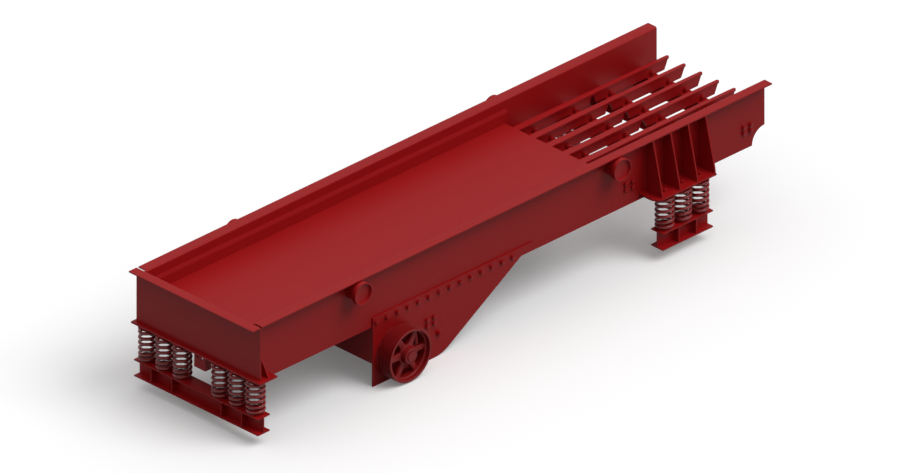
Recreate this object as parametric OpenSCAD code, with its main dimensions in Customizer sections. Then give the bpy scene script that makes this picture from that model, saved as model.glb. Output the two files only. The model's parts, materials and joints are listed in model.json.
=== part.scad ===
// Linear vibratory feeder: a plate trough with a grizzly section on coil springs, shaken by a geared
// twin-shaft exciter. +X runs to the discharge end, +Y is the left-hand side and +Z is up. The origin
// is on the centreline, under the rear row of springs, on the underside of the spring bases.

/* [Trough] */
// Length of the trough, from the outer face of the rear wall to the discharge end
trough_len = 5184; // [5080:1:5600]
// Clear width between the side liners
clear_w = 1067; // [1000:1:1300]
// Height of the side plates
side_h = 494; // [470:1:560]
// Thickness of the side plates and of the rear wall
side_t = 10; // [8:1:14]
// Width of the outward top flanges, fold included
flange_w = 78; // [60:1:100]
// Outer radius of the folded top edges
fold_r = 15; // [15:1:22]
// Distance from the rear springs back to the rear wall's outer face
rear_overhang = 36; // [30:1:44]
// Radius of the quarter-round notch in each lower discharge corner
notch_r = 126; // [80:1:150]
// Free gap between the rear wall's flange and the side flanges
flange_gap = 10; // [6:1:20]

/* [Pan] */
// Length of the flat pan from the rear wall's outer face
deck_len = 3636; // [3560:1:3700]
// Depth of the pan's surface below the top flanges
deck_drop = 188; // [170:1:230]
// Thickness of the pan
deck_t = 12; // [8:1:16]
// Height of the side liners above the pan
liner_h = 112; // [80:1:140]
// Thickness of the side liners
liner_t = 13; // [8:1:18]
// Distance that the side liners run past the pan's end
liner_reach = 24; // [10:1:60]
// Distance from the rear wall to the first beam under the pan
deck_beam_start = 480; // [300:1:800]
// Distance from the pan's end back to the last beam under it
deck_beam_end = 62; // [55:1:100]
// Height of the I-beams under the pan
deck_beam_h = 150; // [120:1:170]
// Flange width of the I-beams under the pan
deck_beam_w = 100; // [80:1:120]

/* [Grizzly] */
// Spacing of the grizzly bars
bar_pitch = 171; // [150:1:180]
// Width of a bar's top flange at the pan
bar_w = 61; // [50:1:70]
// Width of a bar's top flange at its tip
bar_tip_w = 28; // [24:1:40]
// Depth of the bars
bar_h = 94; // [85:1:110]
// Thickness of a bar's top flange
bar_flange_t = 16; // [10:1:20]
// Thickness of a bar's web
bar_web_t = 20; // [12:1:22]
// Setback of a tip's lower corner
bar_slant = 36; // [10:1:80]
// Distance from the pan's end to the first cross beam's centre
cross_start = 173; // [140:1:220]
// Distance from the discharge end back to the notch in the bars' webs
bar_notch_inset = 778; // [775:1:781]
// Width of the notch right under the bar's top
bar_notch_top = 8; // [4:1:12]
// Spacing of the two cross beams beside the notch
cross_pair = 360; // [352:1:366]
// Distance from the discharge end back to the last cross beam's centre
cross_end = 180; // [150:1:240]
// Height of the cross beams
cross_h = 110; // [110:1:120]
// Flange width of the cross beams
cross_w = 98; // [90:1:106]
// Width of the end plates of the cross beams
cross_plate_w = 114; // [112:1:120]
// Length of the lugs on the cross beams
lug_len = 70; // [50:1:90]
// Depth of the bar bolts below the pan's surface
bar_bolt_drop = 67; // [62:1:68]

/* [Suspension] */
// Height of the spring bases
base_h = 140; // [120:1:160]
// Flange width of the spring bases
base_w = 122; // [120:1:140]
// Length of the rear spring base
rear_base_len = 1268; // [1240:1:1400]
// Length of each front spring base
front_base_len = 510; // [490:1:600]
// Distance from the discharge end back to the middle front springs
front_inset = 938; // [935:1:942]
// Distance from the centreline to the front springs
front_y = 660; // [645:1:670]
// Spacing of the springs in a row
spring_pitch = 177; // [165:1:185]
// Distance from the centreline to the innermost rear springs
rear_spring_y = 198; // [150:1:203]
// Outer diameter of the springs
spring_d = 150; // [136:1:150]
// Wire diameter of the springs
wire_d = 24; // [20:1:26]
// Working length of the springs
spring_len = 268; // [240:1:300]
// Turns in each spring
spring_turns = 6.5; // [5:0.25:7]
// Thickness of the spring seat plates
seat_t = 14; // [10:1:20]
// Distance that the side plates reach down past the top of the seat plates
side_drop = 53; // [40:1:70]

/* [Seats] */
// Distance from the rear springs back to the rear seat plate's edge
rear_seat_back = 66; // [62:1:80]
// Distance from the rear springs forward to the rear seat plate's edge
rear_seat_front = 112; // [100:1:130]
// Length of the rear seat plate across the feeder
rear_seat_len = 1320; // [1290:1:1420]
// Distance from the rear seat plate's front edge back to the end gussets
gusset_setback = 75; // [50:1:100]
// Height of the end gussets on the rear seat plate
gusset_h = 150; // [100:1:200]
// Distance from the centreline to the outer edge of the front seat plates
bracket_reach = 740; // [736:1:760]
// Distance that the front seat plates run back past their first rib
bracket_toe = 68; // [40:1:90]
// Corner radius of the front seat plates' long end
bracket_corner_r = 74; // [40:1:90]
// Thickness of the front bracket ribs
rib_t = 12; // [10:1:16]
// Width of the snubber bracket under the rear seat
snubber_w = 115; // [90:1:140]
// Depth of the snubber bracket along the feeder
snubber_l = 58; // [50:1:64]
// Height of the snubber bracket
snubber_h = 136; // [100:1:160]

/* [Lifting trunnions] */
// Outer diameter of the trunnion pipe
trunnion_d = 150; // [130:1:165]
// Outer diameter of the trunnions' end collar
trunnion_collar_d = 176; // [168:1:186]
// Thickness of the trunnions' end collar
trunnion_collar_t = 36; // [20:1:38]
// Width of the collar's rim round the recessed end cap
trunnion_rim = 24; // [16:1:34]
// Reach of the trunnions past the side plates
trunnion_reach = 118; // [116:1:140]
// Depth of the trunnions' axis below the top flanges
trunnion_drop = 98; // [96:1:112]
// Depth of the end cap inside the collar's rim
trunnion_recess = 24; // [10:1:30]
// Distance from the rear springs to the rear trunnions
trunnion_rear_x = 972; // [700:1:1100]
// Distance from the discharge end back to the front trunnions
trunnion_front_inset = 1550; // [1500:1:1740]

/* [Exciter bay] */
// Distance from the rear springs to the skirts' rear edge
skirt_x = 1170; // [1150:1:1180]
// Thickness of the skirts
skirt_t = 12; // [10:1:16]
// Height of the skirts' lap over the side plates
skirt_lap = 79; // [60:1:90]
// Depth of the skirts below the base line
skirt_drop = 97; // [90:1:130]
// Length of the skirts' bottom edge to the corner of the slope
skirt_bottom_len = 698; // [690:1:760]
// Slope of the skirts' front edge, degrees
skirt_slope = 31.6; // [26:0.1:40]
// Radius of the skirts' lower front corner
skirt_corner_r = 300; // [100:1:400]
// Bolts in each skirt's top row
skirt_bolts = 14; // [8:1:14]
// Spacing of the skirt bolts
skirt_bolt_pitch = 106; // [90:1:107]
// Height of the skirt bolts above the side plates' lower edge
skirt_bolt_rise = 36; // [34:1:40]
// Height of the rear cross plate's lower edge above the base line
cross_plate_z = 90; // [60:1:180]
// Distance from the skirts' rear edge to the lower cross beam's centre
low_beam_dx = 580; // [560:1:620]
// Height of the lower cross beam's centre
low_beam_z = 216; // [190:1:230]
// Distance from the skirts' rear edge to the tie rod
tie_rod_dx = 659; // [640:1:670]
// Height of the tie rod
tie_rod_z = 94; // [80:1:110]

/* [Exciter] */
// Direction of the stroke above the horizontal, degrees
stroke_deg = 30; // [28:1:34]
// Distance from the skirts' rear edge to the drive shaft
shaft_dx = 242; // [240:1:262]
// Height of the drive shaft
shaft_z = 122; // [108:1:124]
// Distance between the two shafts
shaft_gap = 190; // [188:1:192]
// Outer radius of the exciter housing round each shaft
housing_r = 116; // [116:1:118]
// Wall of the exciter housing
housing_wall = 10; // [8:1:10]
// Radius of the bearings
bearing_r = 90; // [85:1:94]
// Width of the bearings
bearing_w = 46; // [40:1:52]
// Distance from the side plates' outer face in to the bearings
bearing_inset = 88; // [80:1:95]
// Radius of the shaft journals
journal_r = 50; // [46:1:54]
// Radius of the eccentric length of each shaft
eccentric_r = 74; // [70:1:76]
// Offset of the eccentric length from the shaft's axis
eccentric_offset = 19; // [15:1:19]
// Radius of the drive shaft's end inside the bushing
shaft_end_r = 38; // [34:1:40]
// Teeth on each timing gear
gear_teeth = 25; // [21:2:29]
// Face width of the timing gears
gear_w = 30; // [24:1:36]

/* [Drive pulley] */
// Outer diameter of the drive pulley
pulley_d = 422; // [400:1:440]
// Number of belt grooves
groove_count = 6; // [4:1:6]
// Spacing of the belt grooves
groove_pitch = 19.5; // [18:0.5:20.5]
// Depth of the belt grooves
groove_depth = 13; // [11:1:15]
// Wall of the pulley's rim under the grooves
rim_wall = 6; // [5:1:10]
// Gap between the pulley and the skirt
pulley_gap = 18; // [17:1:26]
// Number of pulley spokes
spoke_count = 6; // [4:1:7]
// Width of the pulley spokes
spoke_w = 44; // [30:1:48]
// Thickness of the pulley spokes
spoke_t = 34; // [26:1:44]
// Depth of the pulley spokes behind the rim's outer face
spoke_recess = 44; // [20:1:56]
// Radius of the pulley's hub
hub_r = 68; // [62:1:76]

/* [Fasteners] */
// Shank diameter of the bolts
bolt_d = 20; // [16:1:20]
// Size of the bolt heads across their flats
bolt_af = 30; // [24:1:32]
// Bolt spacing along the feeder at a beam's end
beam_bolt_dx = 70; // [66:1:76]
// Bolt spacing up and down at a beam's end
beam_bolt_dz = 49; // [44:1:50]

/* [Hidden] */
$fn = 64;
paint = "firebrick";
bright = "silver";

// Clearances
fit_gap = 0.05;      // bearings, gears and bushing on their seats
spring_gap = 0.3;    // springs under their upper seats
hole_gap = 1;        // bolt shanks in their holes
seal_gap = 1.5;      // covers round the drive shaft

// Heights
ring_t = 10;
boss_h = 22;
seat_z = base_h + 2 * ring_t + spring_len;
seat_top = seat_z + seat_t;
side_z = seat_top - side_drop;
top_z = side_z + side_h;
deck_z = top_z - deck_drop;
flange_z = top_z - side_t;

// Widths, from the centreline out
side_in = clear_w / 2 + liner_t;
side_out = side_in + side_t;
flange_out = side_out + flange_w;
skirt_out = side_out + skirt_t;

// Lengths, from the rear springs
wall_x = -rear_overhang;
wall_in = wall_x + side_t;
end_x = wall_x + trough_len;
front_x = end_x - front_inset;
trunnion_front_x = end_x - trunnion_front_inset;
deck_end = wall_x + deck_len;
bar_notch_x = end_x - bar_notch_inset;
bar_z = deck_z - bar_h;
lug_t = 12;
beam_t = 10;
beam_plate_t = 12;
bar_count = 6;
deck_beam_count = 4;
spring_r = (spring_d - wire_d) / 2;
boss_r = spring_r - wire_d / 2 - 3;
ring_r = spring_r + 2;
shaft_x = skirt_x + shaft_dx;
line_deg = stroke_deg + 90;
driven_x = shaft_x + shaft_gap * cos(line_deg);
driven_z = shaft_z + shaft_gap * sin(line_deg);
low_beam_x = skirt_x + low_beam_dx;
low_beam_h = 110;
low_beam_w = 110;
tie_rod_x = skirt_x + tie_rod_dx;
tie_rod_r = 12;
skirt_top = side_z + skirt_lap;
skirt_corner_x = skirt_x + skirt_bottom_len;
skirt_rise = skirt_top + skirt_drop;
skirt_front_x = skirt_corner_x + skirt_rise / tan(skirt_slope);

// Exciter, along Y from the centreline
bulkhead_t = 60;
bearing_y = side_out - bearing_inset;
bulkhead_in = bearing_y - bulkhead_t / 2;
bulkhead_out = bearing_y + bulkhead_t / 2;
gear_y = bulkhead_out + 8;
gear_seat_r = journal_r - 5;
rim_land = 5;
pulley_w = groove_count * groove_pitch + 2 * rim_land;
pulley_back = skirt_out + pulley_gap;
pulley_front = pulley_back + pulley_w;
bushing_out = pulley_front + 5;
shaft_end = pulley_front + 12;
bushing_r = shaft_end_r + 14;

// Fasteners
hole_r = bolt_d / 2 + hole_gap;
washer_r = bolt_af * 0.62;
washer_t = 3;
head_h = bolt_d * 0.65;
nut_h = bolt_d * 0.8;
thread_out = 6;

// Where the repeated pieces stand
rear_spring_ys = [for (side = [1, -1], i = [0:2]) side * (rear_spring_y + (2 - i) * spring_pitch)];
front_spring_xs = [for (i = [-1:1]) front_x + i * spring_pitch];
rib_xs = [for (i = [0:3]) front_x + (i - 1.5) * spring_pitch];
bar_ys = [for (i = [0:bar_count - 1]) (i - (bar_count - 1) / 2) * bar_pitch];
cross_xs = [
    deck_end + cross_start, bar_notch_x - cross_pair / 2, bar_notch_x + cross_pair / 2, end_x - cross_end
];
skirt_bolt_xs = [for (i = [0:skirt_bolts - 1]) skirt_x + 32 + i * skirt_bolt_pitch];
skirt_bolt_z = side_z + skirt_bolt_rise;
deck_beam_first = wall_x + deck_beam_start;
deck_beam_span = deck_end - deck_beam_end - deck_beam_first;

// ---- Shared shapes ----

// Repeats its children on the left side (+1) or as a mirror image on the right side (-1)
module on_side(side) {
    mirror([0, side > 0 ? 0 : 1, 0]) children();
}

// Stands a drawing made in X and Z upright, from y towards +Y by t
module upright(y, t) {
    translate([0, y + t, 0]) rotate([90, 0, 0]) linear_extrude(t) children();
}

// Lays a drawing made in Y and Z along +X, from x by len
module along(x, len) {
    translate([x, 0, 0]) rotate([90, 0, 90]) linear_extrude(len) children();
}

// Turns its children from +Z to +Y, at a point in the X-Z plane
module across(x, z, y = 0) {
    translate([x, y, z]) rotate([-90, 0, 0]) children();
}

// Section of a plate folded outward at its top: outer face on the Y axis, top on the X axis
module folded_section(height) {
    fold_in = fold_r - side_t;
    difference() {
        translate([-side_t, -height]) square([side_t + flange_w, height]);
        translate([fold_in, -height - side_t]) square([flange_w, height]);
        translate([0, -height - side_t]) square([flange_w, height - fold_in]);
        translate([fold_in, -side_t - fold_in]) circle(fold_in);
        difference() {
            translate([-side_t - 1, -fold_r]) square([fold_r + 1, fold_r + 1]);
            translate([fold_in, -fold_r]) circle(fold_r);
        }
    }
}

// I-section: flanges w wide, h high, centred across, standing on its lower flange
module i_section(w, h, t, web) {
    translate([-w / 2, 0]) square([w, t]);
    translate([-w / 2, h - t]) square([w, t]);
    translate([-web / 2, 0]) square([web, h]);
}

// I-beam across the feeder from side to side, bottom at z
module cross_i_beam(x, z, w, h, half_len) {
    translate([x, half_len, z]) rotate([90, 0, 0])
        linear_extrude(2 * half_len) i_section(w, h, beam_t, beam_t - 2);
}

// Straight ring with both edges chamfered
module chamfered_ring(r_out, r_in, w, chamfer) {
    rotate_extrude() polygon([
        [r_in, chamfer], [r_in + chamfer, 0], [r_out - chamfer, 0], [r_out, chamfer],
        [r_out, w - chamfer], [r_out - chamfer, w], [r_in + chamfer, w], [r_in, w - chamfer]
    ]);
}

// ---- Bolts ----

// Hex bolt with washers and nut, clamping grip millimetres below z = 0
module hex_bolt(grip) {
    translate([0, 0, -grip - washer_t - nut_h - thread_out])
        cylinder(r = bolt_d / 2, h = grip + 2 * washer_t + nut_h + thread_out + 1);
    cylinder(r = washer_r, h = washer_t);
    translate([0, 0, washer_t]) cylinder(d = bolt_af / cos(30), h = head_h, $fn = 6);
    translate([0, 0, -grip - washer_t]) cylinder(r = washer_r, h = washer_t);
    translate([0, 0, -grip - washer_t - nut_h]) cylinder(d = bolt_af / cos(30), h = nut_h, $fn = 6);
}

// Hole for one bolt through everything between z = -depth and z = depth
module bolt_hole(depth) {
    translate([0, 0, -depth]) cylinder(r = hole_r, h = 2 * depth);
}

// The four bolt places at the end of a cross beam
module at_beam_end(x, z) {
    for (i = [-1, 1], k = [-1, 1])
        across(x + i * beam_bolt_dx / 2, z + k * beam_bolt_dz / 2) children();
}

module at_skirt_row() {
    for (x = skirt_bolt_xs) across(x, skirt_bolt_z) children();
}

// Centre height of the grizzly's cross beams
cross_mid_z = bar_z - cross_h / 2;

// ---- Suspension ----

// Lower or upper spring seat: a ring plate with a locating boss inside the coil, rising from z = 0
module spring_seat() {
    cylinder(r = ring_r, h = ring_t);
    cylinder(r = boss_r, h = ring_t + boss_h);
}

// One welded spring base along X, centred on x = 0, with seats at the given places
module spring_base(len, seats, stiffeners) {
    along(-len / 2, len) i_section(base_w, base_h, beam_t, beam_t - 2);
    for (x = stiffeners)
        translate([x - 4, -base_w / 2 + 3, beam_t / 2]) cube([8, base_w - 6, base_h - beam_t]);
    for (x = seats) translate([x, 0, base_h]) spring_seat();
}

module rear_base() {
    inner = rear_spring_y + spring_pitch * 0.3;
    outer = rear_spring_y + spring_pitch * 1.5;
    color(paint) rotate(90) spring_base(rear_base_len, rear_spring_ys, [-outer, -inner, inner, outer]);
}

module front_base(side) {
    color(paint) translate([front_x, side * front_y, 0])
        spring_base(front_base_len, [-1, 0, 1] * spring_pitch, [-0.5, 0.5] * spring_pitch);
}

// Coil spring: the wire's centre climbs in closed end turns and open turns between them
coil_steps = 9;
coil_sides = 6;
closed_turns = 0.9;
closed_pitch = wire_d * 1.06;
coil_rings = floor(spring_turns * coil_steps);
function open_pitch(len) =
    (len - wire_d - 2 * closed_turns * closed_pitch) / (spring_turns - 2 * closed_turns);
function coil_z(turn, len) =
    wire_d / 2 + closed_pitch * min(turn, closed_turns)
    + open_pitch(len) * min(max(turn - closed_turns, 0), spring_turns - 2 * closed_turns)
    + closed_pitch * max(turn - spring_turns + closed_turns, 0);
function wire_point(turn, side, len) =
    let (around = 360 * side / coil_sides + 90, reach = spring_r + wire_d / 2 * cos(around))
    [reach * cos(360 * turn), reach * sin(360 * turn), coil_z(turn, len) + wire_d / 2 * sin(around)];

module coil(len) {
    points = [for (i = [0:coil_rings], s = [0:coil_sides - 1])
        wire_point(spring_turns * i / coil_rings, s, len)];
    walls = [for (i = [0:coil_rings - 1], s = [0:coil_sides - 1])
        let (a = i * coil_sides + s, b = i * coil_sides + (s + 1) % coil_sides)
        [a, a + coil_sides, b + coil_sides, b]];
    start = [for (s = [0:coil_sides - 1]) s];
    finish = [for (s = [coil_sides - 1:-1:0]) coil_rings * coil_sides + s];
    polyhedron(points, concat(walls, [start, finish]));
}

module spring_at(x, y) {
    color("indianred") translate([x, y, base_h + ring_t]) coil(spring_len - spring_gap);
}

module rear_spring(i) {
    spring_at(0, rear_spring_ys[i - 1]);
}

module front_spring(side, i) {
    spring_at(front_spring_xs[i - 1], side * front_y);
}

module upper_seat(x, y) {
    translate([x, y, seat_z]) mirror([0, 0, 1]) spring_seat();
}

// Folded bracket that hangs under the middle of the rear seat plate
module snubber() {
    plate_t = 8;
    translate([-snubber_l / 2 + 7, -snubber_w / 2, seat_z - snubber_h]) difference() {
        cube([snubber_l, snubber_w, snubber_h]);
        translate([plate_t, plate_t, -1]) cube([snubber_l, snubber_w - 2 * plate_t, snubber_h + 1]);
        for (y = [0.3, 0.7]) translate([0, y * snubber_w, snubber_h * 0.7])
            rotate([0, 90, 0]) bolt_hole(2 * plate_t);
    }
}

module rear_seat() {
    gusset_x = rear_seat_front - gusset_setback;
    color(paint) {
        translate([-rear_seat_back, -rear_seat_len / 2, seat_z])
            cube([rear_seat_back + rear_seat_front, rear_seat_len, seat_t]);
        for (y = rear_spring_ys) upper_seat(0, y);
        snubber();
        for (side = [-1, 1]) on_side(side) along(gusset_x, side_t) polygon([
            [side_out, seat_top], [flange_out + 5, seat_top],
            [flange_out + 5, seat_top + 8], [side_out, seat_top + gusset_h]
        ]);
    }
}

module front_bracket(side) {
    toe_x = rib_xs[0] - bracket_toe;
    heel_x = rib_xs[3] + rib_t / 2;
    round_r = bracket_corner_r;
    color(paint) on_side(side) {
        difference() {
            union() {
                translate([0, 0, seat_z]) linear_extrude(seat_t) {
                    translate([toe_x, side_out])
                        square([heel_x - toe_x, bracket_reach - side_out - round_r]);
                    translate([toe_x + round_r, side_out])
                        square([heel_x - toe_x - round_r, bracket_reach - side_out]);
                    translate([toe_x + round_r, bracket_reach - round_r]) circle(round_r);
                }
                for (x = front_spring_xs) upper_seat(x, front_y);
            }
            for (x = front_spring_xs) translate([x, front_y, seat_z]) bolt_hole(2 * boss_h);
        }
        for (x = rib_xs) along(x - rib_t / 2, rib_t) polygon([
            [side_out, seat_top], [bracket_reach - 8, seat_top], [bracket_reach - 12, seat_top + 40],
            [flange_out, flange_z], [side_out + fold_r, flange_z], [side_out, flange_z - fold_r]
        ]);
    }
}

// ---- Trough ----

module side_plate(side) {
    color(paint) on_side(side) difference() {
        along(wall_in, end_x - wall_in) translate([side_out, top_z]) folded_section(side_h);
        upright(side_in - 1, flange_w + side_t + 2) {
            translate([end_x, side_z]) circle(notch_r);
            translate([wall_x - 1, side_z - 1]) square([rear_seat_front - wall_x + 1, side_drop + 1]);
        }
        translate([wall_x - 1, side_out + fold_r - side_t, top_z - fold_r])
            cube([side_t + flange_gap + 1, flange_w, fold_r + 1]);
        at_skirt_row() bolt_hole(2 * side_out);
        for (x = cross_xs) at_beam_end(x, cross_mid_z) bolt_hole(2 * side_out);
    }
}

module rear_wall() {
    wall_half = side_out + flange_w;
    color(paint) translate([wall_x, wall_half, 0]) rotate([90, 0, 0]) linear_extrude(2 * wall_half)
        mirror([1, 0]) translate([0, top_z]) folded_section(top_z - seat_top);
}

module deck_plate() {
    color(paint) translate([wall_in, -side_in, deck_z - deck_t])
        cube([deck_end - wall_in, 2 * side_in, deck_t]);
}

module deck_beam(i) {
    x = deck_beam_first + (i - 1) * deck_beam_span / (deck_beam_count - 1);
    color(paint) cross_i_beam(x, deck_z - deck_t - deck_beam_h, deck_beam_w, deck_beam_h, side_in);
}

module liner(side) {
    bevel = liner_t - 3;
    color(paint) on_side(side) along(wall_in, deck_end + liner_reach - wall_in) polygon([
        [side_in - liner_t, deck_z], [side_in, deck_z],
        [side_in, deck_z + liner_h], [side_in - liner_t + bevel, deck_z + liner_h],
        [side_in - liner_t, deck_z + liner_h - 3 * bevel]
    ]);
}

// ---- Grizzly ----

// Width of a bar's top flange at a distance along the trough
function bar_w_at(x) = bar_w + (bar_tip_w - bar_w) * (x - deck_end) / (end_x - deck_end);

// One bar's web from x0 to x1, with its lower corners set back by start and finish
module bar_web(x0, x1, start, finish) {
    upright(-bar_web_t / 2, bar_web_t) polygon([
        [x0 + start, bar_z], [x1 - finish, bar_z],
        [x1, deck_z - bar_flange_t], [x0, deck_z - bar_flange_t]
    ]);
}

// Tapered T-section bar with a V-shaped notch halfway along its web
module grizzly_bar(i) {
    tip_r = bar_tip_w / 2;
    tip_x = end_x - tip_r;
    root_w = bar_w_at(deck_end);
    tip_w = bar_w_at(tip_x);
    color(paint) translate([0, bar_ys[i - 1], 0]) difference() {
        union() {
            translate([0, 0, deck_z - bar_flange_t]) linear_extrude(bar_flange_t) {
                polygon([
                    [deck_end, -root_w / 2], [tip_x, -tip_w / 2], [tip_x, tip_w / 2], [deck_end, root_w / 2]
                ]);
                translate([tip_x, 0]) circle(tip_r);
            }
            bar_web(deck_end, bar_notch_x - bar_notch_top / 2, 0, bar_slant);
            bar_web(bar_notch_x + bar_notch_top / 2, tip_x, bar_slant, bar_slant);
        }
        for (x = cross_xs) across(x, deck_z - bar_bolt_drop) bolt_hole(bar_w);
    }
}

// Cross beam with bolted end plates and one lug beside each bar
module grizzly_cross(i) {
    x = cross_xs[i - 1];
    color(paint) difference() {
        union() {
            cross_i_beam(x, bar_z - cross_h, cross_w, cross_h, side_in);
            for (side = [-1, 1]) on_side(side)
                translate([x - cross_plate_w / 2, side_in - beam_plate_t, bar_z - cross_h])
                    cube([cross_plate_w, beam_plate_t, cross_h]);
            for (y = bar_ys) translate([x - lug_len / 2, y + bar_web_t / 2, bar_z])
                cube([lug_len, lug_t, bar_h - bar_flange_t - 8]);
        }
        at_beam_end(x, cross_mid_z) bolt_hole(2 * side_out);
        across(x, deck_z - bar_bolt_drop) bolt_hole(2 * side_out);
    }
}

// ---- Lifting trunnions ----

module trunnion(side, x) {
    collar_r = trunnion_collar_d / 2;
    cap_r = collar_r - trunnion_rim;
    collar_y = trunnion_reach - trunnion_collar_t;
    edge = 5;
    color(paint) on_side(side) across(x, top_z - trunnion_drop, side_out) rotate_extrude() polygon([
        [0, 0], [trunnion_d / 2, 0], [trunnion_d / 2, collar_y], [collar_r - edge, collar_y],
        [collar_r, collar_y + edge], [collar_r, trunnion_reach - edge],
        [collar_r - edge, trunnion_reach], [cap_r + edge, trunnion_reach],
        [cap_r, trunnion_reach - edge], [cap_r, trunnion_reach - trunnion_recess],
        [0, trunnion_reach - trunnion_recess]
    ]);
}

// ---- Exciter bay ----

// Skirt outline in X and Z: square at the back, sloped in front, rounded between
module skirt_outline() {
    tangent = skirt_corner_r * tan(skirt_slope / 2);
    arc_x = skirt_corner_x - tangent;
    arc_z = -skirt_drop + skirt_corner_r;
    difference() {
        polygon([
            [skirt_x, -skirt_drop], [skirt_corner_x, -skirt_drop],
            [skirt_front_x, skirt_top], [skirt_x, skirt_top]
        ]);
        difference() {
            polygon([
                [arc_x, -skirt_drop - 1], [skirt_corner_x + 1, -skirt_drop - 1],
                [skirt_corner_x + tangent * cos(skirt_slope), -skirt_drop + tangent * sin(skirt_slope)],
                [arc_x, arc_z]
            ]);
            translate([arc_x, arc_z]) circle(skirt_corner_r, $fn = 128);
        }
    }
}

module skirt(side) {
    color(paint) on_side(side) difference() {
        upright(side_out, skirt_t) skirt_outline();
        at_skirt_row() bolt_hole(2 * side_out);
        at_beam_end(low_beam_x, low_beam_z) bolt_hole(2 * side_out);
        across(tie_rod_x, tie_rod_z) cylinder(r = tie_rod_r + hole_gap, h = 2 * side_out);
        if (side < 0)
            across(shaft_x, shaft_z) cylinder(r = journal_r + 20, h = 2 * side_out);
    }
}

module skirt_cross_plate() {
    color(paint) along(skirt_x, skirt_t) difference() {
        translate([-side_out, cross_plate_z]) square([2 * side_out, skirt_top - cross_plate_z]);
        for (side = [-1, 1]) translate([side * side_out - side_t, side_z])
            square([2 * side_t, skirt_lap + 1]);
    }
}

module skirt_beam() {
    z = low_beam_z - low_beam_h / 2;
    color(paint) difference() {
        union() {
            cross_i_beam(low_beam_x, z, low_beam_w, low_beam_h, side_out);
            for (side = [-1, 1]) on_side(side)
                translate([low_beam_x - low_beam_w / 2, side_out - beam_plate_t, z])
                    cube([low_beam_w, beam_plate_t, low_beam_h]);
        }
        at_beam_end(low_beam_x, low_beam_z) bolt_hole(2 * side_out);
    }
}

module tie_rod() {
    reach = skirt_out + washer_t + nut_h + thread_out;
    color(paint) across(tie_rod_x, tie_rod_z) {
        translate([0, 0, -reach]) cylinder(r = tie_rod_r, h = 2 * reach);
        for (side = [-1, 1]) mirror([0, 0, side > 0 ? 0 : 1]) {
            translate([0, 0, skirt_out]) cylinder(r = washer_r + 3, h = washer_t);
            translate([0, 0, skirt_out + washer_t])
                cylinder(d = (bolt_af + 6) / cos(30), h = nut_h, $fn = 6);
            translate([0, 0, side_out - washer_t]) cylinder(r = washer_r + 3, h = washer_t);
            translate([0, 0, side_out - washer_t - nut_h])
                cylinder(d = (bolt_af + 6) / cos(30), h = nut_h, $fn = 6);
        }
    }
}

// ---- Exciter ----

// Runs its children at the drive shaft's and at the driven shaft's place, along +Y
module at_both_shafts() {
    across(shaft_x, shaft_z) children();
    across(driven_x, driven_z) children();
}

// Rounded outline in X and Z round both shafts, r from each axis
module shaft_pair_outline(r) {
    translate([shaft_x, shaft_z]) {
        circle(r);
        rotate(line_deg) {
            translate([0, -r]) square([shaft_gap, 2 * r]);
            translate([shaft_gap, 0]) circle(r);
        }
    }
}

module exciter_housing() {
    inner_r = housing_r - housing_wall;
    color(paint) difference() {
        upright(-side_out, 2 * side_out) shaft_pair_outline(housing_r);
        upright(-bulkhead_in, 2 * bulkhead_in) shaft_pair_outline(inner_r);
        for (side = [-1, 1]) on_side(side) {
            upright(bulkhead_out, side_out) shaft_pair_outline(inner_r);
            translate([driven_x - housing_r, side_in, side_z])
                cube([2 * housing_r, 2 * side_t, housing_r]);
        }
        translate([0, -side_out, 0])
            at_both_shafts() cylinder(r = bearing_r + fit_gap, h = 2 * side_out);
    }
}

module bearing(x, z, end) {
    color(bright) across(x, z, end * bearing_y - bearing_w / 2)
        chamfered_ring(bearing_r, journal_r + fit_gap, bearing_w, 3);
}

module shaft_cover() {
    color(paint) across(shaft_x, shaft_z, -skirt_out - skirt_t)
        chamfered_ring(journal_r + 42, journal_r + seal_gap, skirt_t, 2);
}

// One eccentric shaft along +Y, from its first journal to the far end of the gear seat
module eccentric_shaft(start) {
    weight_dir = 180 - stroke_deg;
    color(bright) {
        translate([0, 0, start]) cylinder(r = gear_seat_r, h = gear_y + gear_w - start);
        translate([0, 0, start]) cylinder(r = journal_r, h = gear_y - 2 - start);
        rotate(weight_dir) translate([eccentric_offset, 0, -bulkhead_in + 8])
            cylinder(r = eccentric_r, h = 2 * bulkhead_in - 16);
    }
}

module drive_shaft() {
    across(shaft_x, shaft_z) eccentric_shaft(-pulley_back + 1);
    color(paint) across(shaft_x, shaft_z, -shaft_end)
        cylinder(r = shaft_end_r, h = shaft_end - pulley_back + 2);
}

module driven_shaft() {
    across(driven_x, driven_z) eccentric_shaft(-bulkhead_out - 4);
}

// Involute timing gear, one tooth centred on angle 0
gear_pitch_r = shaft_gap / 2;
gear_module = shaft_gap / gear_teeth;
gear_base_r = gear_pitch_r * cos(20);
gear_tip_r = gear_pitch_r + gear_module * 0.85;
gear_root_r = gear_pitch_r - gear_module * 1.2;
backlash_deg = 0.5;
function involute_deg(r) =
    let (a = acos(min(gear_base_r / r, 1))) tan(a) * 180 / PI - a;
function flank_deg(r) =
    90 / gear_teeth - backlash_deg + involute_deg(gear_pitch_r) - involute_deg(max(r, gear_base_r));
function at_polar(r, a) = [r * cos(a), r * sin(a)];

module gear_outline() {
    flank_rs = [gear_root_r, gear_base_r, gear_pitch_r, gear_tip_r];
    polygon([for (t = [0:gear_teeth - 1], s = [-1, 1], k = [0:3])
        let (r = flank_rs[s < 0 ? k : 3 - k])
        at_polar(r, 360 * t / gear_teeth + s * flank_deg(r))]);
}

module timing_gear(turn) {
    color(bright) rotate(turn) difference() {
        linear_extrude(gear_w) gear_outline();
        translate([0, 0, -1]) cylinder(r = gear_seat_r + fit_gap, h = gear_w + 2);
    }
}

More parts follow.
